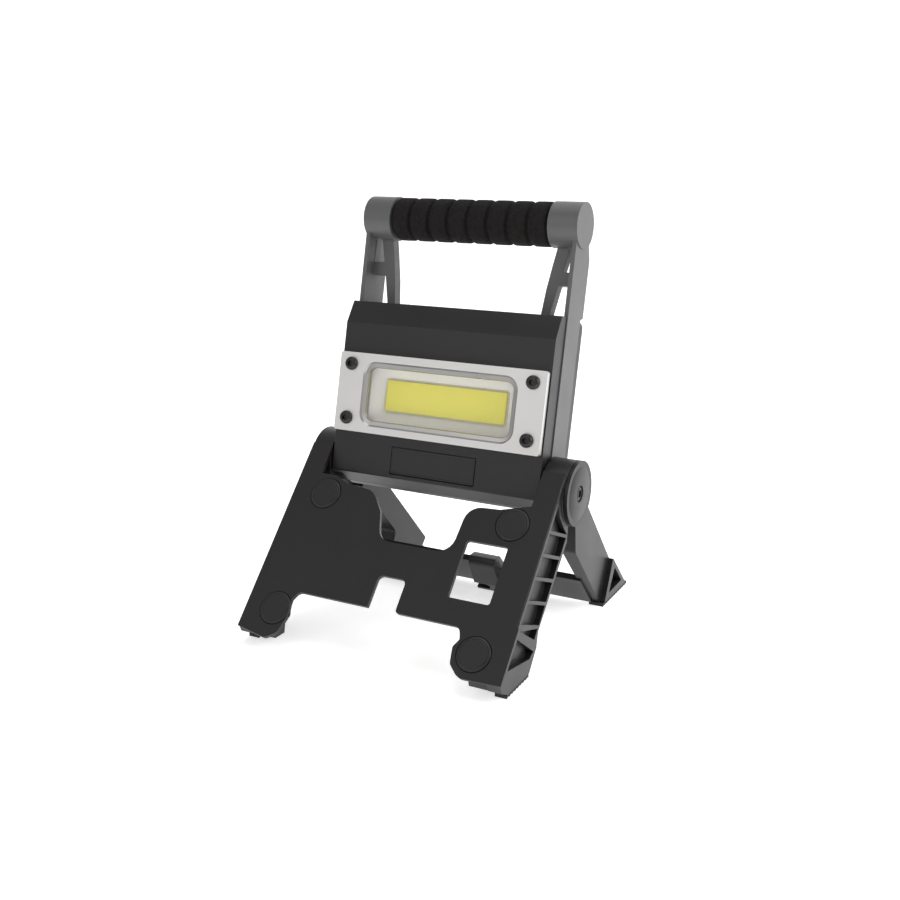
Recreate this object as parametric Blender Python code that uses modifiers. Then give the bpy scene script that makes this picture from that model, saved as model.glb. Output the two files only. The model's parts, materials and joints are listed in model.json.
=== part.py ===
"""Folding LED work light on a knuckle-hinged stand.

Three frames turn on one hub axis that lies along X: the lamp head with its carrying
handle, the front stand and the rear stand. Each frame is drawn upright, with
its own z axis pointing away from the floor, and is then turned about the hub. Sizes are in
millimetres and become metres in the helpers. The front of the light faces -Y.
"""
import math

import bmesh
import bpy
from mathutils import Matrix, Vector

MM = 0.001
GAP = 0.3                      # clearance between pieces that rest on each other

# ---- driving dimensions ----
HUB_HEIGHT = 84.6              # hub axis above the floor
CENTRE = (-1.4, 3.7)           # puts the middle of the whole light over the origin
HEAD_LEAN = -13.45             # degrees about X, top towards the back
FRONT_SPLAY = -42.7            # degrees about X, feet towards the front
REAR_SPLAY = 43.8              # degrees about X, feet towards the back

HEAD_HALF = 66.0               # half width of the head
HEAD_FRONT = -16.8             # front face of the housing
HEAD_TOP = 94.4
COVER_FRONT, COVER_BACK = 15.6, 21.0       # the back cover's thickness
ARM_FRONT, ARM_LOW_BACK, ARM_HIGH_BACK = -4.6, 14.6, 18.0   # arm beside and above the head
ARM_OUTER, ARM_WALL = 66.6, 2.4            # outer face and thickness of an arm's wall
STRUT_FRONT, STRUT_BACK = 3.6, 10.0        # depth of an arm's raked strut

HUB_R = 18.2                   # knuckle radius
BOLT_R, BOLT_HOLE_R = 3.0, 3.4
KNUCKLE = (66.9, 80.9)         # x range of the right black knuckle
LEFT_KNUCKLE = (-80.3, -66.9)
DISC = (81.2, 83.2)            # x range of the outer disc

PLATE_FRONT, PLATE_BACK = -19.0, -16.6     # front stand's sheet
SHEET_INNER = 66.9             # its ears stand just outside the head
RAIL = (73.0, 80.4)
RAIL_WEB = 76.7
RIB_PITCH, RIB_FIRST, RIB_RISE = 13.25, 31.6, 9.7
RIB_THICK = 2.0

PAD = 2.0                      # rubber sole thickness
PAD_TOP = PAD + GAP            # height of the feet above the floor
STEP = 0.1                     # keeps joined solids' faces from lying in one plane
GRIP_Y, GRIP_Z = 4.1, 145.3    # handle axis in the head frame
CAP_R, GRIP_R, TUBE_R = 12.8, 12.2, 8.6
TUBE_WALL = 1.4
CAP_INNER, CAP_OUTER = 49.8, 67.3

LED_HALF, LED_LOW, LED_HIGH = 38.25, 32.2, 50.1
FACE_HALF, FACE_LOW, FACE_HIGH = 64.8, 18.3, 64.0
WINDOW_HALF, WINDOW_LOW, WINDOW_HIGH = 45.3, 23.8, 57.4
SCREW_X, SCREW_ZS = 57.3, (25.9, 57.3)
MAGNETS = ((-58.6, -32.0), (59.6, -32.0), (-61.0, -104.0), (61.6, -104.6))
MAGNET_R = 9.4
HOOK_PIN = (-24.0, -68.0)      # y and z of the hanging hook's pin in the rear frame


# ---- scene, frames and materials ----
def clear_scene():
    for obj in list(bpy.data.objects):
        bpy.data.objects.remove(obj, do_unlink=True)


def collection(name):
    made = bpy.data.collections.new(name)
    bpy.context.scene.collection.children.link(made)
    return made


def hub_frame(name, degrees):
    empty = bpy.data.objects.new(name, None)
    empty.location = (CENTRE[0] * MM, CENTRE[1] * MM, HUB_HEIGHT * MM)
    empty.rotation_euler = (math.radians(degrees), 0.0, 0.0)
    PARTS.objects.link(empty)
    return empty


def material(name, colour, roughness, metallic=0.0):
    made = bpy.data.materials.new(name)
    made.use_nodes = True
    shader = made.node_tree.nodes["Principled BSDF"]
    shader.inputs["Base Color"].default_value = (*colour, 1.0)
    shader.inputs["Roughness"].default_value = roughness
    shader.inputs["Metallic"].default_value = metallic
    return made


def finish(obj, frame, mat):
    """Puts a solid in the light's collection, under its frame, with its material."""
    for owner in list(obj.users_collection):
        owner.objects.unlink(obj)
    PARTS.objects.link(obj)
    obj.parent = frame
    obj.data.materials.clear()
    obj.data.materials.append(mat)
    return obj


def as_tool(obj, frame):
    """Puts a solid with the cutters: it only shapes another solid."""
    for owner in list(obj.users_collection):
        owner.objects.unlink(obj)
    TOOLS.objects.link(obj)
    obj.parent = frame
    obj.hide_render = True
    obj.display_type = "WIRE"
    return obj


# ---- basic shapes, each in its frame's coordinates ----
def box(name, xs, ys, zs):
    bpy.ops.mesh.primitive_cube_add(size=1.0)
    obj = bpy.context.active_object
    obj.name = name
    size = [(b - a) * MM for a, b in (xs, ys, zs)]
    middle = [(a + b) / 2 * MM for a, b in (xs, ys, zs)]
    obj.data.transform(Matrix.Translation(middle) @ Matrix.Diagonal((*size, 1.0)))
    return obj


def rod(name, radius, xs, y=0.0, z=0.0, sides=64):
    """A cylinder along X."""
    bpy.ops.mesh.primitive_cylinder_add(vertices=sides, radius=radius * MM,
                                        depth=(xs[1] - xs[0]) * MM)
    obj = bpy.context.active_object
    obj.name = name
    turn = Matrix.Rotation(math.pi / 2, 4, "Y")
    move = Matrix.Translation(((xs[0] + xs[1]) / 2 * MM, y * MM, z * MM))
    obj.data.transform(move @ turn)
    smooth(obj)
    return obj


def peg(name, radius, ys, x, z, sides=40):
    """A cylinder along Y."""
    bpy.ops.mesh.primitive_cylinder_add(vertices=sides, radius=radius * MM,
                                        depth=(ys[1] - ys[0]) * MM)
    obj = bpy.context.active_object
    obj.name = name
    turn = Matrix.Rotation(math.pi / 2, 4, "X")
    move = Matrix.Translation((x * MM, (ys[0] + ys[1]) / 2 * MM, z * MM))
    obj.data.transform(move @ turn)
    smooth(obj)
    return obj


def smooth(obj):
    obj.data.shade_smooth()
    obj.data.set_sharp_from_angle(angle=math.radians(35))


def slab(name, points, span, axis):
    """A flat outline with a thickness. Along X the points are (y, z), along Y (x, z)."""
    curve = bpy.data.curves.new(name + "_outline", "CURVE")
    curve.dimensions = "2D"
    curve.fill_mode = "BOTH"
    curve.extrude = (span[1] - span[0]) / 2 * MM
    line = curve.splines.new("POLY")
    line.points.add(len(points) - 1)
    for point, (u, v) in zip(line.points, points):
        point.co = (u * MM, v * MM, 0.0, 1.0)
    line.use_cyclic_u = True
    guide = bpy.data.objects.new(name + "_guide", curve)
    bpy.context.scene.collection.objects.link(guide)
    middle = (span[0] + span[1]) / 2 * MM
    if axis == "X":
        place = Matrix(((0, 0, 1, middle), (1, 0, 0, 0), (0, 1, 0, 0), (0, 0, 0, 1)))
    else:
        place = Matrix(((1, 0, 0, 0), (0, 0, -1, middle), (0, 1, 0, 0), (0, 0, 0, 1)))
    guide.matrix_world = place
    bpy.context.view_layer.update()
    graph = bpy.context.evaluated_depsgraph_get()
    mesh = bpy.data.meshes.new_from_object(guide.evaluated_get(graph))
    mesh.transform(place)
    weld(mesh)
    obj = bpy.data.objects.new(name, mesh)
    bpy.context.scene.collection.objects.link(obj)
    bpy.data.objects.remove(guide, do_unlink=True)
    return obj


def weld(mesh):
    shape = bmesh.new()
    shape.from_mesh(mesh)
    bmesh.ops.remove_doubles(shape, verts=shape.verts, dist=0.000002)
    bmesh.ops.recalc_face_normals(shape, faces=shape.faces)
    shape.to_mesh(mesh)
    shape.free()


def rounded(points, radius, steps=4):
    """The outline with each corner turned into an arc; a point may carry its own radius."""
    result = []
    count = len(points)
    for i, point in enumerate(points):
        here = Vector(point[:2])
        before = Vector(points[i - 1][:2])
        after = Vector(points[(i + 1) % count][:2])
        reach = point[2] if len(point) > 2 else radius
        to_before = (before - here).normalized()
        to_after = (after - here).normalized()
        half = to_before.angle(to_after) / 2
        if reach <= 0.0 or half > math.radians(88):
            result.append(tuple(here))
            continue
        back = min(reach / math.tan(half), 0.45 * min((before - here).length,
                                                      (after - here).length))
        start, end = here + to_before * back, here + to_after * back
        centre = here + (to_before + to_after).normalized() * back / math.cos(half)
        spoke = (start - centre).length
        for k in range(steps + 1):
            way = (start - centre).normalized().slerp((end - centre).normalized(), k / steps)
            result.append(tuple(centre + way * spoke))
    return result


def rectangle(us, vs, radius, steps=4):
    corners = [(us[0], vs[0]), (us[1], vs[0]), (us[1], vs[1]), (us[0], vs[1])]
    return rounded(corners, radius, steps)


def turned(name, profile, sides=32):
    """A profile of (radius, height) points, outer side from top to bottom, turned about Z."""
    mesh = bpy.data.meshes.new(name)
    shape = bmesh.new()
    verts = [shape.verts.new((r * MM, 0.0, h * MM)) for r, h in profile]
    for a, b in zip(verts, verts[1:]):
        shape.edges.new((a, b))
    shape.to_mesh(mesh)
    shape.free()
    obj = bpy.data.objects.new(name, mesh)
    bpy.context.scene.collection.objects.link(obj)
    screw = obj.modifiers.new("Turn", "SCREW")
    screw.steps = sides
    screw.render_steps = sides
    screw.use_merge_vertices = True
    screw.merge_threshold = 0.000005
    return obj


def apply_modifiers(obj):
    bpy.context.view_layer.update()
    graph = bpy.context.evaluated_depsgraph_get()
    mesh = bpy.data.meshes.new_from_object(obj.evaluated_get(graph))
    obj.modifiers.clear()
    obj.data = mesh


def combine(target, other, operation):
    step = target.modifiers.new(operation.title(), "BOOLEAN")
    step.operation = operation
    step.object = other
    step.solver = "EXACT"


def cut(target, frame, *tools):
    for tool in tools:
        combine(target, as_tool(tool, frame), "DIFFERENCE")


def join(target, frame, *tools):
    for tool in tools:
        combine(target, as_tool(tool, frame), "UNION")


def move_origin(obj, point):
    """Shifts a solid's origin to a point of its frame, such as a joint's axis."""
    place = Vector(point) * MM
    obj.data.transform(Matrix.Translation(-place))
    obj.location = place


def on_floor(y, degrees, lift):
    """The point (y, z) of a turned frame that stands at the height `lift` above the floor."""
    angle = math.radians(degrees)
    return y, (lift - HUB_HEIGHT - y * math.sin(angle)) / math.cos(angle)


# ---- head ----
def head_housing():
    front = rounded([(-5.0, HEAD_TOP), (-11.4, HEAD_TOP), (HEAD_FRONT, 81.3),
                     (HEAD_FRONT, -5.6), (-5.0, -12.0)], 0.8, 3)
    core = rounded([(-6.0, 93.0), (-6.0, -11.5), (-1.5, -13.5), (9.0, -13.0), (12.0, -6.0),
                    (15.2, 6.0), (15.2, 93.0)], 0.6, 2)
    side = ARM_OUTER - ARM_WALL - GAP
    housing = slab("head_housing", front, (-HEAD_HALF, HEAD_HALF), "X")
    join(housing, HEAD, slab("housing_core", core, (-side, side), "X"))
    inner = [(-60.4, 16.0), (60.4, 16.0), (60.4, 91.0), (-60.4, 91.0)]
    cavity = slab("housing_cavity", rounded(inner, 2.0, 2), (-8.0, 20.0), "Y")
    window = slab("housing_window", rectangle((-51.5, 51.5), (20.0, 62.0), 3.0),
                  (HEAD_FRONT - 2, -7.0), "Y")
    cover_seat = box("cover_seat", (-27.0, 27.0), (HEAD_FRONT - 2, HEAD_FRONT + 2.4), (-3.6, 12.4))
    socket = box("socket_hole", (-6.2, 6.2), (HEAD_FRONT + 1, -6.0), (2.0, 7.0))
    cut(housing, HEAD, cavity, window, cover_seat, socket)
    for x in (-SCREW_X, SCREW_X):
        for z in SCREW_ZS:
            cut(housing, HEAD, peg("housing_thread", 2.3, (HEAD_FRONT - 2, -9.4), x, z, 24))
    cut(housing, HEAD, rod("housing_bore_right", BOLT_HOLE_R, (46.0, 70.0), sides=32))
    cut(housing, HEAD, rod("housing_bore_left", BOLT_HOLE_R, (-70.0, -46.0), sides=32))
    cut(housing, HEAD, box("knuckle_room", (-70.0, -60.6), (-13.6, 22.0), (-20.0, 20.4)))
    return finish(housing, HEAD, BLACK)


def back_cover():
    outline = rounded([(-HEAD_HALF, 9.0, 8.0), (HEAD_HALF, 9.0, 8.0),
                       (HEAD_HALF, HEAD_TOP, 4.0), (-HEAD_HALF, HEAD_TOP, 4.0)], 4.0, 5)
    cover = slab("back_cover", outline, (COVER_FRONT, COVER_BACK), "Y")
    bevel = cover.modifiers.new("Soft_edges", "BEVEL")
    bevel.width = 1.2 * MM
    bevel.segments = 2
    bevel.angle_limit = math.radians(50)
    cut(cover, HEAD, peg("button_hole", 8.4, (COVER_FRONT - 2, COVER_BACK + 2), 0.0, 66.0, 40))
    return finish(cover, HEAD, BLACK)


def face_plate():
    back = HEAD_FRONT - GAP
    plate = slab("face_plate", rectangle((-FACE_HALF, FACE_HALF), (FACE_LOW, FACE_HIGH), 1.5, 3),
                 (-20.5, back), "Y")
    bevel = plate.modifiers.new("Edge", "BEVEL")
    bevel.width = 0.7 * MM
    bevel.segments = 2
    bevel.angle_limit = math.radians(50)
    bpy.ops.mesh.primitive_cube_add(size=1.0)
    funnel = bpy.context.active_object
    funnel.name = "window_funnel"
    shape_funnel(funnel)
    cut(plate, HEAD, funnel)
    for x in (-SCREW_X, SCREW_X):
        for z in SCREW_ZS:
            cut(plate, HEAD, peg("plate_hole", 2.4, (-24.0, -14.0), x, z, 24))
    return finish(plate, HEAD, ALUMINIUM)


def shape_funnel(obj):
    """The window opening: it narrows from the face of the plate towards its back."""
    shape = bmesh.new()
    half, low, high = WINDOW_HALF, WINDOW_LOW, WINDOW_HIGH
    rings = []
    for y, grow in ((-22.0, 6.6), (-20.5, 4.2), (-18.2, 0.0), (-12.0, 0.0)):
        outline = rectangle((-half - grow, half + grow), (low - grow, high + grow), 5.0 + grow, 5)
        rings.append([shape.verts.new((x * MM, y * MM, z * MM)) for x, z in outline])
    for near, far in zip(rings, rings[1:]):
        bmesh.ops.bridge_loops(shape, edges=ring_edges(shape, near) + ring_edges(shape, far))
    shape.faces.new(rings[0])
    shape.faces.new(rings[-1])
    bmesh.ops.recalc_face_normals(shape, faces=shape.faces)
    shape.to_mesh(obj.data)
    shape.free()


def ring_edges(shape, ring):
    edges = []
    for a, b in zip(ring, ring[1:] + ring[:1]):
        edge = shape.edges.get((a, b))
        edges.append(edge if edge else shape.edges.new((a, b)))
    return edges


def socket_screw(name, head_r, head_h, shank_r, shank_h, socket_r, socket_h):
    """A button-head screw about Z with its head up, socket and shank included."""
    top = head_h
    return turned(name, [(0.0, top - socket_h), (socket_r, top - socket_h), (socket_r, top),
                         (head_r * 0.66, top), (head_r * 0.9, top * 0.62), (head_r, top * 0.25),
                         (head_r, 0.0), (shank_r, 0.0), (shank_r, -shank_h),
                         (0.0, -shank_h)][::-1], 28)


def face_screws():
    number = 1
    for x in (-SCREW_X, SCREW_X):
        for z in SCREW_ZS:
            screw = socket_screw("face_screw_%d" % number, 3.9, 2.3, 1.95, 9.0, 1.5, 1.3)
            face_forward(screw, (x, -20.5 - GAP, z))
            finish(screw, HEAD, SCREW_BLACK)
            number += 1


def face_forward(obj, point):
    """Turns a piece made about Z so that its top faces the front, at a point of its frame."""
    apply_modifiers(obj)
    weld(obj.data)
    obj.data.transform(Matrix.Rotation(math.pi / 2, 4, "X"))
    obj.location = Vector(point) * MM
    smooth(obj)


def light_engine():
    lens = slab("window_lens", rectangle((-50.5, 50.5), (20.6, 61.4), 2.5), (-16.4, -15.2), "Y")
    finish(lens, HEAD, CLEAR)
    tray = slab("reflector_tray", rectangle((-51.0, 51.0), (20.4, 61.6), 2.5), (-14.9, -7.6), "Y")
    shape_tray_cut(tray)
    finish(tray, HEAD, WHITE)
    board = box("led_board", (-44.0, 44.0), (-7.3, -6.1), (27.0, 55.0))
    finish(board, HEAD, WHITE)
    emitter = slab("led_emitter", rectangle((-LED_HALF, LED_HALF), (LED_LOW, LED_HIGH), 0.6, 2),
                   (-10.2, -7.9 + GAP), "Y")
    finish(emitter, HEAD, YELLOW)
    sink = box("heat_sink", (-46.0, 46.0), (-5.8, -3.2), (24.0, 58.0))
    finish(sink, HEAD, ALUMINIUM)


def shape_tray_cut(tray):
    shape = bmesh.new()
    rings = []
    for y, half, low, high in ((-17.0, 47.2, 22.4, 58.8), (-14.9, 46.2, 23.2, 58.0),
                               (-9.0, LED_HALF + 1.2, LED_LOW - 1.2, LED_HIGH + 1.2),
                               (-6.0, LED_HALF + 0.4, LED_LOW - 0.4, LED_HIGH + 0.4)):
        outline = rectangle((-half, half), (low, high), 2.0, 3)
        rings.append([shape.verts.new((x * MM, y * MM, z * MM)) for x, z in outline])
    for near, far in zip(rings, rings[1:]):
        bmesh.ops.bridge_loops(shape, edges=ring_edges(shape, near) + ring_edges(shape, far))
    shape.faces.new(rings[0])
    shape.faces.new(rings[-1])
    bmesh.ops.recalc_face_normals(shape, faces=shape.faces)
    mesh = bpy.data.meshes.new("tray_cut")
    shape.to_mesh(mesh)
    shape.free()
    cutter = bpy.data.objects.new("tray_cut", mesh)
    bpy.context.scene.collection.objects.link(cutter)
    cut(tray, HEAD, cutter)


def electronics():
    for number, z in enumerate((29.0, 49.5), start=1):
        cell = rod("battery_cell_%d" % number, 9.0, (-52.0, 13.0), 6.2, z, 32)
        finish(cell, HEAD, CELL_BLUE)
    board = box("driver_board", (18.0, 56.0), (2.0, 3.6), (22.0, 58.0))
    finish(board, HEAD, BOARD_GREEN)
    socket = box("usb_socket", (-4.6, 4.6), (HEAD_FRONT + 3.2, -6.4), (2.6, 6.2))
    cut(socket, HEAD, box("usb_mouth", (-4.0, 4.0), (HEAD_FRONT + 2, -8.0), (3.2, 5.6)))
    finish(socket, HEAD, STEEL)


def port_cover():
    y0 = HEAD_FRONT - 0.1
    cover = box("port_cover", (-26.6, 26.6), (y0, y0 + 1.8), (-2.9, 12.0))
    move_origin(cover, (0.0, y0 + 0.9, -2.0))
    bevel = cover.modifiers.new("Soft_edges", "BEVEL")
    bevel.width = 0.5 * MM
    bevel.segments = 2
    return finish(cover, HEAD, BLACK)


def power_button():
    button = turned("power_button", [(0.0, -6.0), (8.0, -6.0), (8.0, 0.6), (7.2, 1.3),
                                     (0.0, 1.6)], 40)
    apply_modifiers(button)
    weld(button.data)
    button.data.transform(Matrix.Rotation(-math.pi / 2, 4, "X"))
    button.location = Vector((0.0, COVER_BACK - 0.6, 66.0)) * MM
    smooth(button)
    return finish(button, HEAD, RUBBER)


# ---- handle ----
def mirrored(points, side):
    """Points (x, z) of the right arm as they are, or turned over for the left arm."""
    return [(side * point[0], *point[1:]) for point in points][::side]


def arm_wall(side):
    """Outline (y, z) of an arm's outer wall. Only the right arm reaches down to the hub."""
    low, corner = (-15.0, 8.0) if side > 0 else (21.0, 1.0)
    return rounded([(ARM_FRONT, low, corner), (ARM_FRONT, 138.0), (GRIP_Y + 9.0, 140.0),
                    (ARM_HIGH_BACK, 128.0, 6.0), (ARM_HIGH_BACK, 95.6), (ARM_LOW_BACK, 94.8),
                    (ARM_LOW_BACK, low, corner)], 0.8, 4)


def arm(side):
    """One moulded arm: an outer wall, a raked strut tied to it by a rib, the grip's socket."""
    name = "handle_arm_right" if side > 0 else "handle_arm_left"
    wall_x = sorted((side * (ARM_OUTER - ARM_WALL), side * ARM_OUTER))
    body = slab(name, arm_wall(side), wall_x, "X")
    strut = [(65.0, 138.0), (65.0, 111.8), (55.4, 111.8, 0.8), (52.1, 94.9), (47.0, 94.9),
             (48.5, 109.0, 9.0), (50.8, 122.9, 9.0), (52.8, 133.7), (53.0, 138.0)]
    pocket = [(63.9, 134.6), (63.9, 119.4), (57.0, 119.4), (60.4, 134.6)]
    join(body, HEAD, slab(name + "_strut", rounded(mirrored(strut, side), 0.0, 3),
                          (STRUT_FRONT, STRUT_BACK), "Y"))
    join(body, HEAD, rod(name + "_cap", CAP_R, sorted((side * CAP_INNER, side * CAP_OUTER)),
                         GRIP_Y, GRIP_Z, 64))
    cut(body, HEAD, slab(name + "_pocket", rounded(mirrored(pocket, side), 0.8, 3),
                         (STRUT_FRONT - 4, STRUT_BACK + 4), "Y"))
    cut(body, HEAD, rod(name + "_socket", TUBE_R + GAP,
                        sorted((side * (CAP_INNER - 2), side * (CAP_INNER + 10))),
                        GRIP_Y, GRIP_Z, 40))
    if side > 0:
        cut(body, HEAD, rod("arm_bore", BOLT_HOLE_R, (60.0, 70.0), sides=32))
    return finish(body, HEAD, GREY)


def grip():
    tube = rod("grip_tube", TUBE_R, (-CAP_INNER - 9.5, CAP_INNER + 9.5), GRIP_Y, GRIP_Z, 40)
    cut(tube, HEAD, rod("tube_bore", TUBE_R - TUBE_WALL, (-70.0, 70.0), GRIP_Y, GRIP_Z, 40))
    finish(tube, HEAD, STEEL)
    half = CAP_INNER - GAP
    segment = 2 * half / 8
    profile = []
    for k in range(8):
        start = -half + k * segment
        profile += [(GRIP_R - 1.0, start), (GRIP_R, start + 1.6),
                    (GRIP_R, start + segment - 1.6), (GRIP_R - 1.0, start + segment)]
    bore = TUBE_R + GAP
    outline = [(bore, -half)] + profile + [(bore, half), (bore, -half)]
    foam = turned("foam_grip", outline[::-1], 40)
    apply_modifiers(foam)
    weld(foam.data)
    foam.data.transform(Matrix.Rotation(math.pi / 2, 4, "Y"))
    foam.location = Vector((0.0, GRIP_Y, GRIP_Z)) * MM
    smooth(foam)
    finish(foam, HEAD, FOAM)


# ---- front stand ----
def sheet_outline():
    """The front stand's sheet as (x, z): wavy top edge, notch below, a foot at each side."""
    wave = [(-SHEET_INNER, -19.9), (-56.0, -19.9, 4.0), (-47.0, -23.9, 4.0), (-29.0, -25.6, 10.0),
            (-20.0, -37.0, 10.0), (-14.0, -54.0, 9.0), (30.0, -54.0, 9.0), (31.5, -25.5, 9.0),
            (50.0, -24.6, 3.0), (SHEET_INNER, -19.9)]
    right = [(SHEET_INNER, 2.0), (79.8, 2.0), (79.8, -85.5), (80.9, -87.0), (80.9, -117.4),
             (57.0, -118.2, 7.0), (50.6, -112.0, 4.0), (49.0, -103.0, 3.0),
             (51.6, -98.6, 2.0), (49.5, -92.4, 4.0)]
    notch = [(10.8, -92.4, 2.0), (10.8, -73.6, 3.0), (-6.2, -73.6, 3.0), (-6.2, -92.4, 0.5)]
    left = [(-50.6, -92.4, 4.0), (-54.0, -99.0, 3.0), (-51.4, -105.5, 3.0), (-54.4, -117.6, 5.0),
            (-61.0, -121.6, 3.0), (-80.2, -118.4), (-80.2, -87.0), (-79.0, -85.5),
            (-79.0, 2.0), (-SHEET_INNER, 2.0)]
    return rounded(wave + right + notch + left, 0.6, 5)


def rail_outline():
    front = PLATE_FRONT + GAP
    return rounded([(front, -0.5), (front, -117.2), (-13.5, -119.6),
                    on_floor(-6.0, FRONT_SPLAY, PAD_TOP), on_floor(13.6, FRONT_SPLAY, PAD_TOP),
                    (12.7, -85.4), (8.3, -78.0), (10.0, -25.0, 1.0), (4.6, -17.2), (4.6, -0.5)],
                   0.6, 2)


def rib_line(d, y):
    """Height of a rib's middle at y, for a rib that leaves the sheet at depth d."""
    run = (y - PLATE_BACK) / (10.0 - PLATE_BACK)
    return -d + RIB_RISE * run


def rail_pockets():
    """Outlines (y, z) of the side rail's pockets between its ribs."""
    front, back = PLATE_BACK + 0.1, 7.0
    half = RIB_THICK / 2
    pockets = []
    for k in range(4):
        d = RIB_FIRST + RIB_PITCH * k
        top_f, top_b = rib_line(d, front) - half, rib_line(d, back) - half
        low_f = rib_line(d + RIB_PITCH, front) + half
        low_b = rib_line(d + RIB_PITCH, back) + half
        pockets.append([(front, top_f), (front, low_f), (back, low_b), (back, top_b)])
    d = RIB_FIRST + 4 * RIB_PITCH
    pockets.append([(front + 1.5, rib_line(d, front) - 2.4), (back - 0.4, -83.4),
                    (back - 0.4, rib_line(d, back) - half)])
    pockets.append([(front, -91.5), (front, -109.0), (8.2, -93.4), (10.2, -88.4)])
    pockets.append([(front, rib_line(RIB_FIRST, front) + half),
                    (back, rib_line(RIB_FIRST, back) + half), (1.0, -21.6),
                    (-10.0, -19.6), (front, -14.8)])
    return pockets


def front_stand():
    stand = slab("front_stand", sheet_outline(), (PLATE_FRONT, PLATE_BACK), "Y")
    join(stand, FRONT, rod("knuckle_right", HUB_R, KNUCKLE))
    join(stand, FRONT, rod("knuckle_left", HUB_R, LEFT_KNUCKLE))
    for side in (-1, 1):
        tag = "right" if side > 0 else "left"
        xs = sorted((side * RAIL[0], side * RAIL[1]))
        join(stand, FRONT, slab("rail_" + tag, rail_outline(), xs, "X"))
        lug = [(PLATE_BACK - 0.6, -102.0), (PLATE_BACK - 0.6, -116.6), (-13.5, -119.4),
               on_floor(-6.2, FRONT_SPLAY, PAD_TOP + STEP), on_floor(0.0, FRONT_SPLAY, PAD_TOP + STEP),
               (-6.0, -102.0)]
        lug_x = sorted((side * 62.0, side * (RAIL[0] + 1.0)))
        join(stand, FRONT, slab("lug_" + tag, lug, lug_x, "X"))
        open_x = sorted((side * RAIL_WEB, side * (RAIL[1] + 3.0)))
        for number, outline in enumerate(rail_pockets()):
            cut(stand, FRONT, slab("pocket_%s_%d" % (tag, number), outline, open_x, "X"))
    cut(stand, FRONT, slab("sheet_window", rectangle((37.2, 61.4), (-77.9, -45.0), 1.5, 3),
                           (PLATE_FRONT - 2, PLATE_BACK + 2), "Y"))
    for number, (x, z) in enumerate(MAGNETS, start=1):
        cut(stand, FRONT, peg("magnet_seat_%d" % number, MAGNET_R + GAP,
                              (PLATE_FRONT - 2, PLATE_FRONT + 1.5), x, z, 48))
    cut(stand, FRONT, rod("stand_bore", BOLT_HOLE_R, (-90.0, 90.0), sides=32))
    cut(stand, FRONT, rod("bolt_seat_left", 4.6, (-84.0, -77.4), sides=32))
    return finish(stand, FRONT, BLACK)


def magnets():
    names = ("magnet_upper_left", "magnet_upper_right", "magnet_lower_left", "magnet_lower_right")
    for name, (x, z) in zip(names, MAGNETS):
        disc = turned(name, [(0.0, -1.3), (MAGNET_R, -1.3), (MAGNET_R, 0.3), (MAGNET_R - 0.7, 0.8),
                             (0.0, 0.8)], 48)
        face_forward(disc, (x, PLATE_FRONT, z))
        finish(disc, FRONT, BLACK_DISC)


def pad_outline(degrees, top, bottom):
    """A rubber sole's (y, z) outline from its y range at the foot and on the floor."""
    return [on_floor(top[0], degrees, PAD), on_floor(bottom[0], degrees, 0.0),
            on_floor(bottom[1], degrees, 0.0), on_floor(top[1], degrees, PAD)]


def front_pads():
    for side in (-1, 1):
        name = "front_pad_right" if side > 0 else "front_pad_left"
        outline = pad_outline(FRONT_SPLAY, (-6.0, 13.6), (-4.2, 15.0))
        xs = sorted((side * (RAIL[0] + 0.4), side * (RAIL[1] - 0.2)))
        finish(slab(name, outline, xs, "X"), FRONT, RUBBER)


# ---- rear stand ----
def rear_right_outline():
    return rounded([(4.2, 6.0), (4.2, -84.0), on_floor(5.2, REAR_SPLAY, PAD_TOP),
                    on_floor(-22.6, REAR_SPLAY, PAD_TOP), (-23.4, -26.0, 5.0),
                    (-14.6, -13.4, 3.0), (-10.0, -4.0)], 0.8, 3)


def rear_left_outline():
    return rounded([(9.4, -17.5, 2.0), (9.4, -116.0), on_floor(2.0, REAR_SPLAY, PAD_TOP),
                    on_floor(-21.6, REAR_SPLAY, PAD_TOP), (-22.6, -82.0, 3.0),
                    (-7.6, -76.0, 4.0), (-7.6, -19.0, 1.0)], 0.8, 3)


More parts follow.
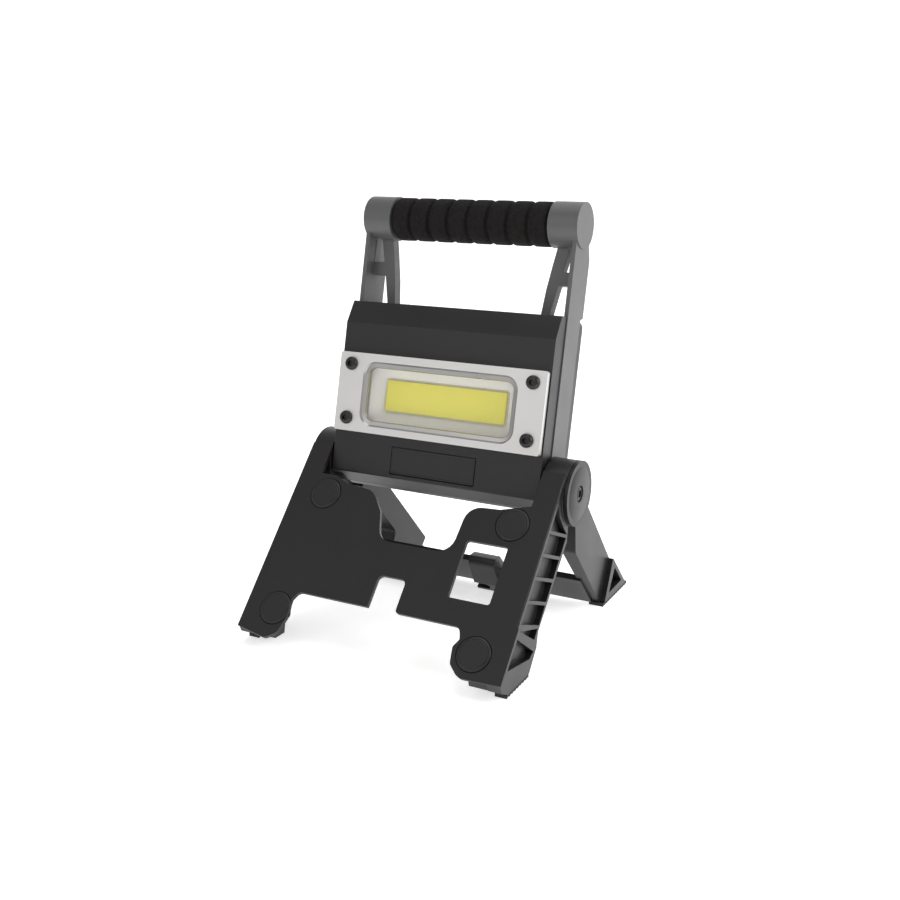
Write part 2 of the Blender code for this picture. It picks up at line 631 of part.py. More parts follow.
def rear_stand():
    stand = slab("rear_stand", rear_right_outline(), (73.0, 82.3), "X")
    taper = [(82.6, 12.0), (79.8, -88.0), (79.8, -130.0), (95.0, -130.0), (95.0, 12.0)]
    cut(stand, REAR, slab("leg_taper", taper, (-40.0, 20.0), "Y"))
    boss = rounded([(3.9, -84.0), on_floor(4.9, REAR_SPLAY, PAD_TOP + STEP),
                    on_floor(-22.0, REAR_SPLAY, PAD_TOP + STEP)], 0.8, 3)
    join(stand, REAR, slab("foot_boss", boss, (74.5, 83.0), "X"))
    cut(stand, REAR, rod("knuckle_room_right", HUB_R + 0.5, (60.0, DISC[0]), sides=64))
    join(stand, REAR, rod("outer_disc", HUB_R, (DISC[0] + 0.1, DISC[1]), sides=72))
    pocket = rounded([(1.4, -91.5), (2.0, -110.0), (-14.5, -94.8)], 0.6, 3)
    cut(stand, REAR, slab("boss_pocket", pocket, (78.5, 86.0), "X"))
    join(stand, REAR, box("crossbar", (-65.0, 75.5), (-24.0, -20.4), (-91.4, -62.6)))
    join(stand, REAR, slab("left_strut", rear_left_outline(), (-79.0, -61.2), "X"))
    join(stand, REAR, rod("left_knuckle", 12.6, (-66.4, -61.2), sides=48))
    neck = [(5.5, 0.0), (5.5, -22.0), (-5.5, -22.0), (-5.5, 0.0)]
    join(stand, REAR, slab("left_neck", neck, (-66.2, -61.5), "X"))
    cut(stand, REAR, rod("knuckle_room_left", HUB_R + 0.5, (-90.0, LEFT_KNUCKLE[1] + GAP)))
    cut(stand, REAR, rod("rear_bore", BOLT_HOLE_R, (-70.0, 90.0), sides=32))
    cut(stand, REAR, rod("bolt_seat_right", 4.5, (DISC[1] - 1.2, 90.0), sides=32))
    cut(stand, REAR, box("hook_room", (4.0, 26.4), (-26.0, -18.0), (-79.6, -58.0)))
    return finish(stand, REAR, BLACK)


def rear_pads():
    right = pad_outline(REAR_SPLAY, (5.2, -22.6), (5.6, -24.6))
    finish(slab("rear_pad_right", right, (73.4, 82.6), "X"), REAR, RUBBER)
    left = pad_outline(REAR_SPLAY, (2.0, -21.4), (2.6, -23.0))
    finish(slab("rear_pad_left", left, (-78.6, -61.6), "X"), REAR, RUBBER)


def hook():
    """The hanging hook, folded against the crossbar. It turns on a pin along X."""
    shape = rounded([(-19.6, -58.0), (-24.6, -53.4, 2.0), (-29.0, -55.4, 3.0), (-33.4, -72.0, 3.0),
                     (-33.6, -81.0, 2.0), (-30.6, -83.0, 1.5), (-25.4, -79.4), (-19.6, -76.4)],
                    0.8, 3)
    body = slab("hanging_hook", shape, (6.6, 23.8), "X")
    throat = rounded([(0.0, -78.4), (16.4, -78.4, 2.4), (16.4, -72.8, 2.4), (0.0, -72.8)], 0.5, 3)
    cut(body, REAR, slab("hook_throat", throat, (-40.0, -15.0), "Y"))
    cut(body, REAR, rod("hook_bore", 1.9, (0.0, 30.0), *HOOK_PIN, 24))
    move_origin(body, (15.2, *HOOK_PIN))
    finish(body, REAR, BLACK)
    pin = rod("hook_pin", 1.6, (4.3, 26.1), *HOOK_PIN, 24)
    finish(pin, REAR, STEEL)


# ---- hub ----
def hub_bolts():
    right = socket_screw("hub_bolt_right", 4.2, 1.0, BOLT_R, 34.0, 2.6, 0.9)
    apply_modifiers(right)
    weld(right.data)
    right.data.transform(Matrix.Rotation(math.pi / 2, 4, "Y"))
    right.location = Vector((DISC[1] - 1.2 + GAP, 0.0, 0.0)) * MM
    smooth(right)
    finish(right, FRONT, SCREW_BLACK)
    left = socket_screw("hub_bolt_left", 4.2, 2.0, BOLT_R, 26.0, 2.4, 1.6)
    apply_modifiers(left)
    weld(left.data)
    left.data.transform(Matrix.Rotation(-math.pi / 2, 4, "Y"))
    left.location = Vector((-77.4 - GAP, 0.0, 0.0)) * MM
    smooth(left)
    finish(left, FRONT, SCREW_BLACK)


clear_scene()
PARTS = collection("folding_work_light")
TOOLS = collection("cutters")
HEAD = hub_frame("head_frame", HEAD_LEAN)
FRONT = hub_frame("front_frame", FRONT_SPLAY)
REAR = hub_frame("rear_frame", REAR_SPLAY)

BLACK = material("black_plastic", (0.030, 0.030, 0.032), 0.42)
BLACK_DISC = material("black_magnet_face", (0.026, 0.026, 0.028), 0.48)
GREY = material("grey_plastic", (0.150, 0.155, 0.162), 0.45)
ALUMINIUM = material("satin_aluminium", (0.62, 0.63, 0.64), 0.38, 0.9)
SCREW_BLACK = material("black_steel", (0.020, 0.020, 0.022), 0.35, 0.7)
STEEL = material("bright_steel", (0.55, 0.55, 0.56), 0.30, 1.0)
CLEAR = material("clear_lens", (0.85, 0.86, 0.86), 0.10)
WHITE = material("white_plastic", (0.78, 0.78, 0.76), 0.45)
YELLOW = material("led_phosphor", (0.78, 0.74, 0.14), 0.55)
CELL_BLUE = material("cell_wrap", (0.06, 0.16, 0.42), 0.40)
BOARD_GREEN = material("circuit_board", (0.03, 0.16, 0.07), 0.50)
FOAM = material("grip_foam", (0.022, 0.018, 0.016), 0.92)
RUBBER = material("black_rubber", (0.020, 0.020, 0.020), 0.80)

head_housing()
back_cover()
face_plate()
face_screws()
light_engine()
electronics()
port_cover()
power_button()
arm(1)
arm(-1)
grip()
front_stand()
magnets()
front_pads()
rear_stand()
rear_pads()
hook()
hub_bolts()
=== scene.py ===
"""Looks of the folding work light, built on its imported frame."""
import json
import math

import bmesh
import bpy
from mathutils import Matrix, Vector


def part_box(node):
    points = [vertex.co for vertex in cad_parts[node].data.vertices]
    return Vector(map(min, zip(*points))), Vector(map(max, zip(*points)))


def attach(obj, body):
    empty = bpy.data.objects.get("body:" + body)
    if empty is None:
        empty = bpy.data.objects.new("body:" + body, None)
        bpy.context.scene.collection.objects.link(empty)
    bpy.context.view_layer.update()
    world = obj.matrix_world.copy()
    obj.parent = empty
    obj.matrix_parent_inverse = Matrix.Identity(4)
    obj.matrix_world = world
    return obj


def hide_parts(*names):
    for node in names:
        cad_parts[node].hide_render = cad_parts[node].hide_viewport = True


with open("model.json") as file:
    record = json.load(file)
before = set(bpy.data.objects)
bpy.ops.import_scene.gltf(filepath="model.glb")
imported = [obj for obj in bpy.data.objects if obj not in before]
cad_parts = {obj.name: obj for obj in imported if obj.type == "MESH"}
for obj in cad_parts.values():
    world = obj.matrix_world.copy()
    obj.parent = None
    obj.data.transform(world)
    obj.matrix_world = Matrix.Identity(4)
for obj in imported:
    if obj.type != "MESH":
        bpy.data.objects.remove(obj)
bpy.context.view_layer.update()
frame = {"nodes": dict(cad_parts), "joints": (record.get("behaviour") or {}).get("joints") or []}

# ---- Camera ----
# Three quarters from the front on the hub disc's side, a little above the handle, with a
# short portrait lens. The light stands clear of the picture's edges.
CAMERA_PLACE = (0.2899, -0.5424, 0.2699)
AZIMUTH, ELEVATION = 0.485, 0.270
LENS, SENSOR = 44.75, 36.0
lens = bpy.data.cameras.new("studio_camera")
lens.lens = LENS
lens.sensor_width = SENSOR
lens.clip_start = 0.01
camera = bpy.data.objects.new("studio_camera", lens)
backwards = Vector((math.sin(AZIMUTH) * math.cos(ELEVATION),
                    -math.cos(AZIMUTH) * math.cos(ELEVATION), math.sin(ELEVATION)))
camera.location = CAMERA_PLACE
camera.rotation_euler = backwards.to_track_quat("Z", "Y").to_euler()
bpy.context.scene.collection.objects.link(camera)
bpy.context.scene.camera = camera

# ---- Studio ----
# A white paper floor that sweeps up into the wall behind, an even room, and three soft
# panels. The strongest stands beside the light, where the stand's side rails face.
bpy.context.scene.view_settings.view_transform = "Standard"
SWEEP_R, FLOOR_FRONT, FLOOR_BACK, FLOOR_HALF, WALL = 1.2, -2.5, 1.6, 4.0, 2.5
AIM = Vector((0.0, 0.0, 0.11))


def panel(name, place, size, watts):
    """A square soft light that looks at the middle of the work light."""
    light = bpy.data.lights.new(name, "AREA")
    light.shape = "SQUARE"
    light.size = size
    light.energy = watts
    lamp = bpy.data.objects.new(name, light)
    lamp.location = place
    lamp.rotation_euler = (Vector(place) - AIM).to_track_quat("Z", "Y").to_euler()
    bpy.context.scene.collection.objects.link(lamp)


def drawn_out(shape, loop):
    """Extrudes a loop of edges, and returns the new loop's verts and edges."""
    grown = bmesh.ops.extrude_edge_only(shape, edges=loop)["geom"]
    far = [v for v in grown if isinstance(v, bmesh.types.BMVert)]
    edges = [e for e in grown if isinstance(e, bmesh.types.BMEdge)]
    return far, [e for e in edges if e.verts[0] in far and e.verts[1] in far]


panel("panel_side", (1.45, 0.15, 0.85), 0.9, 14.0)
panel("panel_front", (-0.55, -1.5, 1.0), 0.9, 3.0)
panel("panel_top", (0.0, 0.25, 1.6), 1.1, 7.0)

room = bpy.data.worlds.new("studio_room")
room.use_nodes = True
glow = room.node_tree.nodes["Background"]
glow.inputs["Color"].default_value = (1.0, 0.985, 0.97, 1.0)
glow.inputs["Strength"].default_value = 0.42
bpy.context.scene.world = room

sweep = bmesh.new()
near = sweep.verts.new((-FLOOR_HALF, FLOOR_FRONT, 0.0))
far = sweep.verts.new((-FLOOR_HALF, FLOOR_BACK, 0.0))
sweep.edges.new((near, far))
bmesh.ops.spin(sweep, geom=[far], cent=(-FLOOR_HALF, FLOOR_BACK, SWEEP_R), axis=(1.0, 0.0, 0.0),
               angle=math.pi / 2, steps=24, use_merge=False)
bmesh.ops.remove_doubles(sweep, verts=sweep.verts, dist=0.0001)
top = max(sweep.verts, key=lambda v: v.co.z)
raised = bmesh.ops.extrude_vert_indiv(sweep, verts=[top])
bmesh.ops.translate(sweep, verts=raised["verts"], vec=(0.0, 0.0, WALL))
across = drawn_out(sweep, sweep.edges[:])[0]
bmesh.ops.translate(sweep, verts=across, vec=(2 * FLOOR_HALF, 0.0, 0.0))
bmesh.ops.recalc_face_normals(sweep, faces=sweep.faces)
mesh = bpy.data.meshes.new("studio_floor")
sweep.to_mesh(mesh)
sweep.free()
mesh.shade_smooth()
floor = bpy.data.objects.new("studio_floor", mesh)
bpy.context.scene.collection.objects.link(floor)
paper = bpy.data.materials.new("floor_paper")
paper.use_nodes = True
matt = paper.node_tree.nodes["Principled BSDF"]
matt.inputs["Base Color"].default_value = (0.92, 0.92, 0.92, 1.0)
matt.inputs["Roughness"].default_value = 0.9
matt.inputs["Emission Color"].default_value = (1.0, 1.0, 1.0, 1.0)
matt.inputs["Emission Strength"].default_value = 0.62
mesh.materials.append(paper)

# ---- Head housing ----
# The head's front half, one moulding in black ABS: a slanted top, a flat face for the
# lamp plate and a tucked underside. The mould leaves a fine even grain.
HUB = next(Vector(j["pos_m"]) for j in frame["joints"] if j["name"] == "head_tilt")
MM = 0.001
COLOUR_A, COLOUR_B, COLOUR_OUT = 6, 7, 2       # the mix node's colour sockets
SAME_POINT, FLAT_DEGREES, ROUNDED_DEGREES = 0.000004, 1.0, 38
AS_IT_IS = Matrix.Identity(4)


def stance(degrees):
    """From millimetres about the hub, drawn upright, to where that frame stands."""
    turn = Matrix.Rotation(math.radians(degrees), 4, "X")
    return Matrix.Translation(HUB) @ turn @ Matrix.Scale(MM, 4)


HEAD, FRONT, REAR = stance(-13.45), stance(-42.7), stance(43.8)


def node(tree, kind, **values):
    """One shader node with the named inputs set."""
    made = tree.nodes.new(kind)
    for key, value in values.items():
        made.inputs[key.replace("_", " ")].default_value = value
    return made


def surface(name, dark, light, rough, relief, stretch=(1.0, 1.0, 1.0), metal=0.0,
            patch=22.0, soft=0.0004):
    """A finish with a fine relief, patches between two tones, and uneven gloss.

    relief is (features per metre, depth in metres). soft rounds the edges by that radius.
    """
    made = bpy.data.materials.new(name)
    made.use_nodes = True
    tree = made.node_tree
    join = tree.links.new
    shader = tree.nodes["Principled BSDF"]
    shader.inputs["Metallic"].default_value = metal
    place = node(tree, "ShaderNodeTexCoord")
    along = node(tree, "ShaderNodeMapping", Scale=stretch)
    join(place.outputs["Object"], along.inputs["Vector"])

    tone = node(tree, "ShaderNodeTexNoise", Scale=patch, Detail=4.0, Roughness=0.6)
    blend = node(tree, "ShaderNodeMix")
    blend.data_type = "RGBA"
    blend.inputs[COLOUR_A].default_value = (*dark, 1.0)
    blend.inputs[COLOUR_B].default_value = (*light, 1.0)
    join(along.outputs["Vector"], tone.inputs["Vector"])
    join(tone.outputs["Fac"], blend.inputs["Factor"])
    join(blend.outputs[COLOUR_OUT], shader.inputs["Base Color"])

    wear = node(tree, "ShaderNodeTexNoise", Scale=patch * 2.3, Detail=3.0)
    gloss = node(tree, "ShaderNodeMapRange", To_Min=rough[0], To_Max=rough[1])
    join(along.outputs["Vector"], wear.inputs["Vector"])
    join(wear.outputs["Fac"], gloss.inputs["Value"])
    join(gloss.outputs["Result"], shader.inputs["Roughness"])

    grain = node(tree, "ShaderNodeTexNoise", Scale=relief[0], Detail=2.0)
    bump = node(tree, "ShaderNodeBump", Strength=0.8, Distance=relief[1])
    join(along.outputs["Vector"], grain.inputs["Vector"])
    join(grain.outputs["Fac"], bump.inputs["Height"])
    if soft > 0.0:
        edges = node(tree, "ShaderNodeBevel", Radius=soft)
        join(edges.outputs["Normal"], bump.inputs["Normal"])
    join(bump.outputs["Normal"], shader.inputs["Normal"])
    return made


def settle(name, shape, place, finish, body, slot, *nodes, crease=32):
    """Makes a piece of a shape, in its place and finish, riding on its body.

    Faces that meet at more than the crease angle show a sharp edge.
    """
    bmesh.ops.transform(shape, matrix=place, verts=shape.verts)
    bmesh.ops.recalc_face_normals(shape, faces=shape.faces)
    made = bpy.data.meshes.new(name)
    shape.to_mesh(made)
    shape.free()
    made.shade_smooth()
    made.set_sharp_from_angle(angle=math.radians(crease))
    made.materials.append(finish)
    piece = bpy.data.objects.new(name, made)
    bpy.context.scene.collection.objects.link(piece)
    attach(piece, body)
    if nodes:
        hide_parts(*nodes)
    return piece


def moulding(name, cad_node, edge_width, finish, body, slot, crease=18):
    """A moulded part in its CAD shape, with its edges rounded over."""
    shape = bmesh.new()
    shape.from_mesh(frame["nodes"][cad_node].data)
    bmesh.ops.remove_doubles(shape, verts=shape.verts, dist=SAME_POINT)
    bmesh.ops.dissolve_limit(shape, angle_limit=math.radians(FLAT_DEGREES), verts=shape.verts,
                             edges=shape.edges)
    piece = settle(name, shape, AS_IT_IS, finish, body, slot, cad_node, crease=crease)
    rounding = piece.modifiers.new("Rounded_edges", "BEVEL")
    rounding.width = edge_width
    rounding.segments = 2
    rounding.limit_method = "ANGLE"
    rounding.angle_limit = math.radians(ROUNDED_DEGREES)
    rounding.use_clamp_overlap = True
    return piece


black_plastic = surface("black_abs", (0.0082, 0.0068, 0.0082), (0.0125, 0.0108, 0.0128),
                        (0.34, 0.46), (1500.0, 0.00005))
moulding("housing", "head_housing", 0.0006, black_plastic, "head", "black_plastic")

# ---- Back cover ----
# A flat black moulding that closes the head from behind; its rounded rim shows past the
# arms as a thin dark strip.
moulding("rear_cover", "back_cover", 0.0005, black_plastic, "head", "black_plastic")

# ---- Lamp plate ----
# A satin anodised aluminium plate, bead blasted to an even grey. Its window is milled in
# steps: a steep chamfer, a narrow land, then a second wall down to the lamp. The steps are
# glossier where the mill cut them, and painted a darker grey as painted shade.
PLATE_FACE, PLATE_THICK, PLATE_HALF, PLATE_LOW, PLATE_HIGH, PLATE_R = -20.5, 3.3, 65.2, 18.3, 64.0, 1.4
WINDOW_HALF, WINDOW_LOW, WINDOW_HIGH, WINDOW_R = 48.9, 22.2, 59.6, 8.0
WINDOW_STEPS = ((0.9, -0.9), (2.1, -0.3), (0.5, -1.1))     # how far in, and how far down
TOWARDS_FRONT = Matrix.Rotation(math.pi / 2, 4, "X")


def rounded_face(shape, half, low, high, radius, depth):
    """A flat face with round corners that looks to the front, at that depth."""
    corners = bmesh.ops.create_grid(shape, x_segments=1, y_segments=1, size=1.0)["verts"]
    bmesh.ops.scale(shape, verts=corners, vec=(half, (high - low) / 2, 1.0))
    bmesh.ops.rotate(shape, verts=corners, matrix=TOWARDS_FRONT.to_3x3())
    bmesh.ops.translate(shape, verts=corners, vec=(0.0, depth, (low + high) / 2))
    bmesh.ops.bevel(shape, geom=corners, offset=radius, offset_type="OFFSET", segments=8,
                    profile=0.5, affect="VERTICES", material=-1, clamp_overlap=True)
    return max(shape.faces, key=lambda f: len(f.verts))


def backwards_from(shape, loop, distance):
    """Draws a loop of edges back into the head, and returns the loop's far copy."""
    verts, edges = drawn_out(shape, loop)
    bmesh.ops.translate(shape, verts=verts, vec=(0.0, distance, 0.0))
    return edges


aluminium = surface("satin_plate", (0.68, 0.675, 0.665), (0.74, 0.735, 0.725), (0.40, 0.48),
                    (2200.0, 0.00003), metal=0.8, patch=14.0, soft=0.0)
plate = bmesh.new()
outline = rounded_face(plate, PLATE_HALF, PLATE_LOW, PLATE_HIGH, PLATE_R, PLATE_FACE)
rim = outline.edges[:]
plate.faces.remove(outline)
window = rounded_face(plate, WINDOW_HALF, WINDOW_LOW, WINDOW_HIGH, WINDOW_R, PLATE_FACE)
bmesh.ops.triangle_fill(plate, edges=rim + window.edges[:], use_beauty=True)
for width, drop in WINDOW_STEPS:
    ring = bmesh.ops.inset_region(plate, faces=[window], thickness=width, depth=drop,
                                  use_even_offset=True)
    # The step faces take the second finish, the one with painted shade.
    for face in ring["faces"]:
        face.material_index = 1
hole = window.edges[:]
plate.faces.remove(window)
behind = backwards_from(plate, rim, PLATE_THICK)
behind += backwards_from(plate, hole, PLATE_THICK + sum(drop for _, drop in WINDOW_STEPS))
bmesh.ops.triangle_fill(plate, edges=behind, use_beauty=True)
# The steps' finish: lower roughness for the milled cut, and a darkened base colour that is painted
# shade, not the metal's own tone.
milled_and_shaded = surface("window_steps_milled_painted_shade", (0.36, 0.355, 0.35), (0.46, 0.455, 0.45), (0.24, 0.34),
                 (1600.0, 0.00003), metal=0.9, patch=14.0, soft=0.0)
lamp_plate = settle("lamp_plate", plate, HEAD, aluminium, "head", "satin_aluminium", "face_plate",
                    crease=15)
lamp_plate.data.materials.append(milled_and_shaded)

# ---- Screws ----
# Four black-oxide button heads with hex sockets hold the plate on. Four smaller ones hold
# the back cover on, sunk almost flush.
SCREW_R, SCREW_HIGH, SOCKET_R, SOCKET_DEPTH = 3.9, 2.3, 1.75, 1.4
COVER_SCREW = (2.7, 0.6, 1.1, 0.5)             # radius, height, socket radius and depth
DOME = ((1.0, 0.25), (0.97, 0.5), (0.88, 0.78), (0.72, 0.95), (0.58, 1.0))
TOWARDS_BACK = Matrix.Rotation(-math.pi / 2, 4, "X")
black_steel = surface("black_oxide", (0.022, 0.022, 0.023), (0.06, 0.06, 0.06), (0.26, 0.40),
                      (3000.0, 0.00001), metal=0.8, patch=160.0, soft=0.0)


def button_head(radius, height, socket, depth):
    """A domed screw head about Z, its underside at zero, with a hex socket."""
    shape = bmesh.new()
    rim = bmesh.ops.create_circle(shape, segments=48, radius=radius)["verts"]
    loop = shape.edges[:]
    for share, level in DOME:
        ring, loop = drawn_out(shape, loop)
        for vert in ring:
            flat = vert.co.xy.normalized() * radius * share
            vert.co = (flat.x, flat.y, height * level)
    hexagon = bmesh.ops.create_circle(shape, segments=6, radius=socket)["verts"]
    bmesh.ops.translate(shape, verts=hexagon, vec=(0.0, 0.0, height))
    inner = list({e for v in hexagon for e in v.link_edges})
    bmesh.ops.bridge_loops(shape, edges=loop + inner)
    low = drawn_out(shape, inner)[0]
    bmesh.ops.translate(shape, verts=low, vec=(0.0, 0.0, -depth))
    shape.faces.new(low)
    shape.faces.new(rim)
    return shape


for number, (x, z) in enumerate(((-57.3, 25.9), (-57.3, 57.3), (57.3, 25.9), (57.3, 57.3)), 1):
    place = HEAD @ Matrix.Translation((x, -20.6, z)) @ TOWARDS_FRONT
    screw = button_head(SCREW_R, SCREW_HIGH, SOCKET_R, SOCKET_DEPTH)
    settle("plate_screw_%d" % number, screw, place, black_steel, "head", "black_steel",
           "face_screw_%d" % number)
for number, (x, z) in enumerate(((-58.0, 20.0), (-58.0, 85.0), (58.0, 20.0), (58.0, 85.0)), 1):
    place = HEAD @ Matrix.Translation((x, 20.9, z)) @ TOWARDS_BACK
    settle("cover_screw_%d" % number, button_head(*COVER_SCREW), place, black_steel, "head",
           "black_steel")

# ---- Reflector ----
# A white moulded tray slopes down from the window's rim to the lamp, so the opening looks
# like a shallow basin.
white_plastic = surface("reflector_white", (0.78, 0.77, 0.735), (0.84, 0.825, 0.79), (0.40, 0.50),
                        (1800.0, 0.00002), patch=30.0)
moulding("reflector", "reflector_tray", 0.0003, white_plastic, "head", "white_plastic")

# ---- LED ----
# One chip-on-board strip: the blue dies lie under a poured layer of yellow phosphor
# silicone with a raised white dam round it.
STRIP_SIZE, STRIP_MIDDLE = (76.5, 2.3, 17.9), (0.0, -9.1, 41.15)
DAM_SIZE, DAM_MIDDLE, DAM_WALL, DAM_DEPTH = (78.6, 1.5, 20.0), (0.0, -8.45, 41.15), 1.0, 0.9


def block(size, middle):
    """A plain block of that size about that middle."""
    shape = bmesh.new()
    bmesh.ops.create_cube(shape, size=1.0)
    bmesh.ops.scale(shape, verts=shape.verts, vec=size)
    bmesh.ops.translate(shape, verts=shape.verts, vec=middle)
    return shape


def front_of(shape):
    """The faces of a block that look to the front."""
    return [f for f in shape.faces if f.normal.y < -0.9]


phosphor = surface("phosphor_gel", (0.86, 0.79, 0.06), (0.92, 0.85, 0.10), (0.42, 0.55),
                   (1300.0, 0.00008), patch=60.0, soft=0.0)
strip = block(STRIP_SIZE, STRIP_MIDDLE)
bmesh.ops.bevel(strip, geom=strip.edges[:], offset=0.5, offset_type="OFFSET", segments=3,
                profile=0.5, affect="EDGES", material=-1, clamp_overlap=True)
settle("led_strip", strip, HEAD, phosphor, "head", "led_phosphor", "led_emitter")
dam = block(DAM_SIZE, DAM_MIDDLE)
bmesh.ops.inset_region(dam, faces=front_of(dam), thickness=DAM_WALL, depth=-DAM_DEPTH)
settle("led_dam", dam, HEAD, white_plastic, "head", "white_plastic")

# ---- Window ----
# A thin clear sheet, cut from flat stock and laid in behind the plate, keeps dust off the
# lamp. It shows as no more than a faint gloss.
clear = surface("clear_sheet", (0.9, 0.92, 0.92), (0.94, 0.95, 0.95), (0.03, 0.07),
                (40.0, 0.00001), patch=9.0, soft=0.0)
clear.node_tree.nodes["Principled BSDF"].inputs["Alpha"].default_value = 0.05


def coat(cad_node, finish):
    """Gives a piece that keeps its CAD shape its finish."""
    frame["nodes"][cad_node].data.materials.clear()
    frame["nodes"][cad_node].data.materials.append(finish)


coat("window_lens", clear)

# ---- Socket cover ----
# A flush black flap over the charging socket, moulded in the housing's plastic. A step
# round its edge frames it.
FLAP_SIZE, FLAP_MIDDLE = (53.2, 1.8, 14.9), (0.0, -16.0, 4.55)
flap = block(FLAP_SIZE, FLAP_MIDDLE)
front = front_of(flap)
bmesh.ops.inset_region(flap, faces=front, thickness=0.7, depth=0.0)
bmesh.ops.inset_region(flap, faces=front, thickness=0.4, depth=-0.35)
settle("socket_flap", flap, HEAD, black_plastic, "port_cover", "black_plastic", "port_cover")

# ---- Power button ----
# A round soft-touch rubber button, pushed through the back cover from inside and dished
# for the thumb.
BUTTON_PLACE = (0.0, 20.4, 66.0)
soft_rubber = surface("soft_rubber", (0.012, 0.012, 0.012), (0.022, 0.022, 0.022), (0.66, 0.82),
                      (1700.0, 0.00006))
dish = ((0.0, 0.9), (4.6, 1.2), (6.6, 1.7), (7.4, 1.4), (7.8, 0.6), (8.0, -0.4), (8.0, -6.0),
        (0.0, -6.0))


def lathe(profile, sides=64):
    """A closed round shape about Z from its (radius, height) points."""
    shape = bmesh.new()
    verts = [shape.verts.new((radius, 0.0, height)) for radius, height in profile]
    edges = [shape.edges.new(pair) for pair in zip(verts, verts[1:])]
    bmesh.ops.spin(shape, geom=verts + edges, cent=(0.0, 0.0, 0.0), axis=(0.0, 0.0, 1.0),
                   angle=math.tau, steps=sides, use_merge=True)
    bmesh.ops.remove_doubles(shape, verts=shape.verts, dist=0.0001)
    return shape


settle("thumb_button", lathe(dish), HEAD @ Matrix.Translation(BUTTON_PLACE) @ TOWARDS_BACK,
       soft_rubber, "power_button", "black_rubber", "power_button")

# ---- Handle arms ----
# Two grey mouldings, clamped between housing and back cover. Each has an outer wall, a
# raked strut, a rib that leaves two windows, and a round socket for the grip.
grey_plastic = surface("grey_abs", (0.090, 0.091, 0.092), (0.110, 0.111, 0.112), (0.38, 0.50),
                       (1500.0, 0.00006))
moulding("arm_right", "handle_arm_right", 0.0006, grey_plastic, "head", "grey_plastic")
moulding("arm_left", "handle_arm_left", 0.0006, grey_plastic, "head", "grey_plastic")

# ---- Foam grip ----
# Open-cell foam moulded as eight soft rolls with narrow grooves between them, pushed over
# the steel tube.
ROLLS, ROLL_R, GROOVE_R, BORE_R, GRIP_HALF = 8, 12.4, 10.6, 8.9, 49.4
ROLL_LINE = ((0.0, GROOVE_R), (0.05, GROOVE_R), (0.085, ROLL_R - 0.9), (0.12, ROLL_R - 0.3),
             (0.18, ROLL_R), (0.5, ROLL_R + 0.05), (0.82, ROLL_R), (0.88, ROLL_R - 0.3),
             (0.915, ROLL_R - 0.9), (0.95, GROOVE_R))
TOWARDS_RIGHT = Matrix.Rotation(math.pi / 2, 4, "Y")
GRIP_PLACE = HEAD @ Matrix.Translation((0.0, 4.1, 145.3)) @ TOWARDS_RIGHT
roll = 2 * GRIP_HALF / ROLLS
grip_line = [(BORE_R, -GRIP_HALF)]
for k in range(ROLLS):
    grip_line += [(radius, -GRIP_HALF + (k + share) * roll) for share, radius in ROLL_LINE]
grip_line += [(GROOVE_R, GRIP_HALF), (BORE_R, GRIP_HALF), (BORE_R, -GRIP_HALF)]
foam = surface("grip_foam", (0.003, 0.0026, 0.0026), (0.020, 0.018, 0.0175), (0.86, 0.98),
               (800.0, 0.0008), patch=420.0, soft=0.0)
foam.node_tree.nodes["Principled BSDF"].inputs["Specular IOR Level"].default_value = 0.2
grip = settle("grip", lathe(grip_line, 96), GRIP_PLACE, foam, "head", "grip_foam", "foam_grip")

# ---- Front stand ----
# One black moulding: a flat sheet with a wavy top, a window and a notch, and a ribbed
# rail down each side that ends in a foot.
moulding("stand_front", "front_stand", 0.0004, black_plastic, "front_stand", "black_plastic")

# ---- Magnets ----
# Four round magnets are pressed into the sheet under thin plastic discs. A groove runs
# round each disc near its rim.
MAGNETS = (("upper_left", -58.6, -32.0), ("upper_right", 59.6, -32.0),
           ("lower_left", -61.0, -104.0), ("lower_right", 61.6, -104.6))
disc_line = ((0.0, 0.75), (7.6, 0.75), (7.75, 0.55), (8.05, 0.55), (8.2, 0.75), (8.8, 0.7),
             (9.2, 0.45), (9.4, 0.0), (9.4, -1.3), (0.0, -1.3))
disc_black = surface("magnet_disc", (0.008, 0.0075, 0.0085), (0.012, 0.0115, 0.0125), (0.40, 0.50),
                     (1300.0, 0.00005))
for name, x, z in MAGNETS:
    place = FRONT @ Matrix.Translation((x, -19.0, z)) @ TOWARDS_FRONT
    settle("magnet_disc_" + name, lathe(disc_line), place, disc_black, "front_stand", "magnet_face",
           "magnet_" + name)

# ---- Rear stand ----
# One moulding in the same black as the front stand, glossier where the tool was polished:
# two struts, a crossbar low down, a hub disc outside the right knuckle and a pocketed foot.
leg_black = surface("black_abs_gloss", (0.012, 0.0118, 0.0125), (0.018, 0.0177, 0.0185),
                    (0.30, 0.42), (1500.0, 0.00005))
leg_black.node_tree.nodes["Principled BSDF"].inputs["Specular IOR Level"].default_value = 0.27
moulding("stand_rear", "rear_stand", 0.0005, leg_black, "rear_stand", "black_plastic")

# ---- Hub ----
# The disc outside the right knuckle carries a raised ring, moulded with it, and the right
# bolt's black head sits down in its seat.
RING_X, BOLT_X = 83.2, 82.3
BOLT_HEAD = (4.2, 0.9, 2.4, 0.7)               # radius, height, socket radius and depth
ring_line = ((4.7, 0.0), (4.7, 0.22), (14.6, 0.22), (15.0, 0.0), (15.4, -0.2), (4.7, -0.2),
             (4.7, 0.0))
settle("hub_ring", lathe(ring_line, 96), REAR @ Matrix.Translation((RING_X, 0.0, 0.0)) @ TOWARDS_RIGHT,
       leg_black, "rear_stand", "black_plastic")
settle("hub_bolt_head_right", button_head(*BOLT_HEAD),
       FRONT @ Matrix.Translation((BOLT_X, 0.0, 0.0)) @ TOWARDS_RIGHT, black_steel, "front_stand",
       "black_steel")

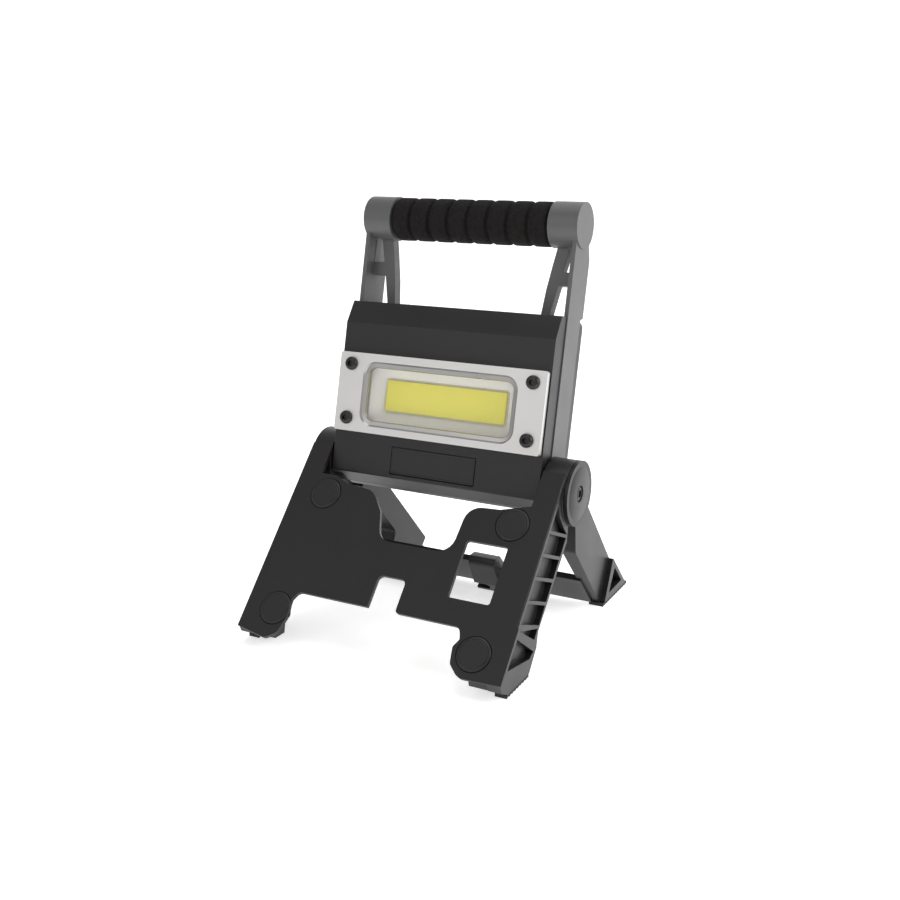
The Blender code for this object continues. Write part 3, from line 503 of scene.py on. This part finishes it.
# ---- Rubber soles ----
# Each foot stands on a black rubber sole. Its tread is a row of small cross teeth.
TOOTH, TOOTH_DEPTH = 0.0017, 0.0007
for name, cad_node, body in (("sole_front_left", "front_pad_left", "front_stand"),
                             ("sole_front_right", "front_pad_right", "front_stand"),
                             ("sole_rear_left", "rear_pad_left", "rear_stand"),
                             ("sole_rear_right", "rear_pad_right", "rear_stand")):
    low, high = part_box(cad_node)
    size = high - low
    sole = block(size, (low + high) / 2)
    lengthwise = [e for e in sole.edges if abs(e.verts[0].co.y - e.verts[1].co.y) > size.y / 2]
    teeth = 2 * round(size.y / TOOTH / 2)
    bmesh.ops.subdivide_edges(sole, edges=lengthwise, cuts=teeth - 1, use_grid_fill=True)
    for vert in sole.verts:
        step = round((vert.co.y - low.y) / size.y * teeth)
        if vert.co.z < low.z + size.z / 2 and step % 2:
            vert.co.z += TOOTH_DEPTH
    settle(name, sole, AS_IT_IS, soft_rubber, body, "black_rubber", cad_node)

# ---- Hanging hook ----
# A black moulded hook that opens to one side. It folds out of the rear crossbar on a steel
# pin.
moulding("hook", "hanging_hook", 0.0005, black_plastic, "hanging_hook", "black_plastic")

# ---- Inside ----
# The cells, boards, heat sink, socket, grip tube, hook pin and hub bolts stay in their CAD
# shapes. Most are bought parts, fitted before the back cover goes on.
steel = surface("drawn_steel", (0.42, 0.42, 0.43), (0.55, 0.55, 0.56), (0.22, 0.36),
                (900.0, 0.00001), stretch=(0.2, 1.0, 1.0), metal=1.0, patch=300.0, soft=0.0)
cell_wrap = surface("cell_wrap", (0.02, 0.08, 0.28), (0.03, 0.10, 0.34), (0.25, 0.35),
                    (200.0, 0.00002), soft=0.0)
circuit = surface("circuit_green", (0.01, 0.07, 0.03), (0.02, 0.11, 0.05), (0.3, 0.45),
                  (500.0, 0.00003), patch=350.0, soft=0.0)
plain = {"battery_cell_1": cell_wrap, "battery_cell_2": cell_wrap, "driver_board": circuit,
         "led_board": white_plastic, "heat_sink": aluminium, "usb_socket": steel, "grip_tube": steel,
         "hook_pin": steel, "hub_bolt_left": black_steel, "hub_bolt_right": black_steel}
for cad_node, finish in plain.items():
    coat(cad_node, finish)
